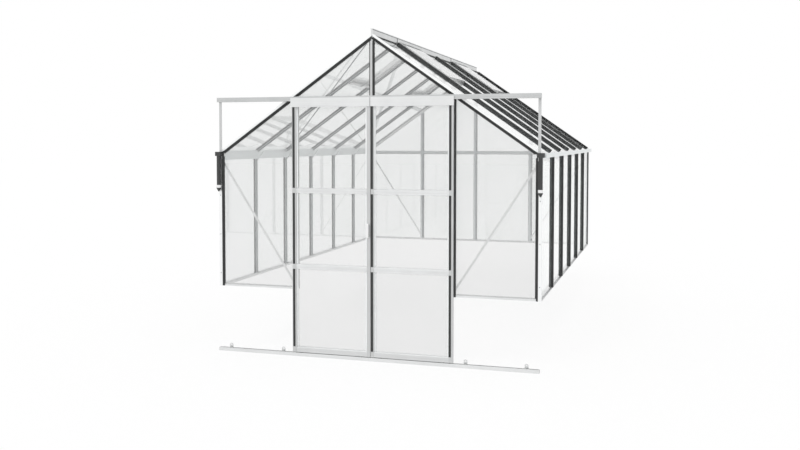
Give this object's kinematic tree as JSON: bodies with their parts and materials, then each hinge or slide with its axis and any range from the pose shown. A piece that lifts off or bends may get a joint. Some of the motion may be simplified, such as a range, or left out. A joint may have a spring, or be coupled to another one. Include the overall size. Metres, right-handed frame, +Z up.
{
  "type": "glass greenhouse",
  "caption": "Aluminium and glass greenhouse for a low wall, with black glazing beads, roof vents, gutters and a sliding double door that reaches below the sill.",
  "frame": {"origin": "middle of the underside of the rear sill, the face that sits on the wall", "axes": "+X to the right seen from the front gable, +Y from the front gable to the rear gable, +Z up"},
  "size_m": [3.04, 4.5168, 2.9183],
  "materials": {
    "aluminium": "satin mill-finished extrusion",
    "glass": "clear toughened horticultural glass",
    "black_bead": "black extruded PVC",
    "pipe_black": "black moulded PVC",
    "collar_white": "white moulded plastic",
    "roller_steel": "zinc-plated steel",
    "shoe_plastic": "dark nylon",
    "white_enamel": "white powder coat"
  },
  "bodies": {
    "house": {"bottom_guide": "aluminium", "corner_posts": "aluminium", "door_head": "aluminium", "door_jambs": "aluminium", "downpipes": "pipe_black", "front_centre_bar": "aluminium", "front_gable_beads": "black_bead", "front_gable_glass": "glass", "front_sill": "aluminium", "gable_braces": "aluminium", "gable_rafters": "aluminium", "left_gutter": "aluminium", "left_roof_glass": "glass", "left_wall_glass": "glass", "pipe_collars": "collar_white", "pipe_spouts": "pipe_black", "rail_end_posts": "aluminium", "rear_cross_bars": "aluminium", "rear_gable_bars": "aluminium", "rear_gable_beads": "black_bead", "rear_gable_glass": "glass", "rear_sill": "aluminium", "ridge_beam": "aluminium", "ridge_cap": "aluminium", "right_gutter": "aluminium", "right_roof_glass": "glass", "right_wall_glass": "glass", "roof_bars": "aluminium", "roof_beads": "black_bead", "roof_braces": "aluminium", "running_rail": "aluminium", "side_sills": "aluminium", "side_wall_bars": "aluminium", "vent_frames": "aluminium", "vent_glass": "glass", "vent_trimmers": "aluminium", "wall_beads": "black_bead"},
    "left_door": {"left_door_glass": "glass", "left_door_rails": "aluminium", "left_door_shoes": "shoe_plastic", "left_door_stiles": "aluminium", "left_door_strips": "black_bead", "left_door_trolleys": "roller_steel", "door_handle": "white_enamel"},
    "right_door": {"right_door_glass": "glass", "right_door_rails": "aluminium", "right_door_shoes": "shoe_plastic", "right_door_stiles": "aluminium", "right_door_strips": "black_bead", "right_door_trolleys": "roller_steel"}
  },
  "joints": [
    {"name": "left_door_slide", "type": "slide", "parent": "house", "child": "left_door", "axis": [-1, 0, 0], "range_m": [0, 0.7]},
    {"name": "right_door_slide", "type": "slide", "parent": "house", "child": "right_door", "axis": [1, 0, 0], "range_m": [0, 0.7]}
  ]
}
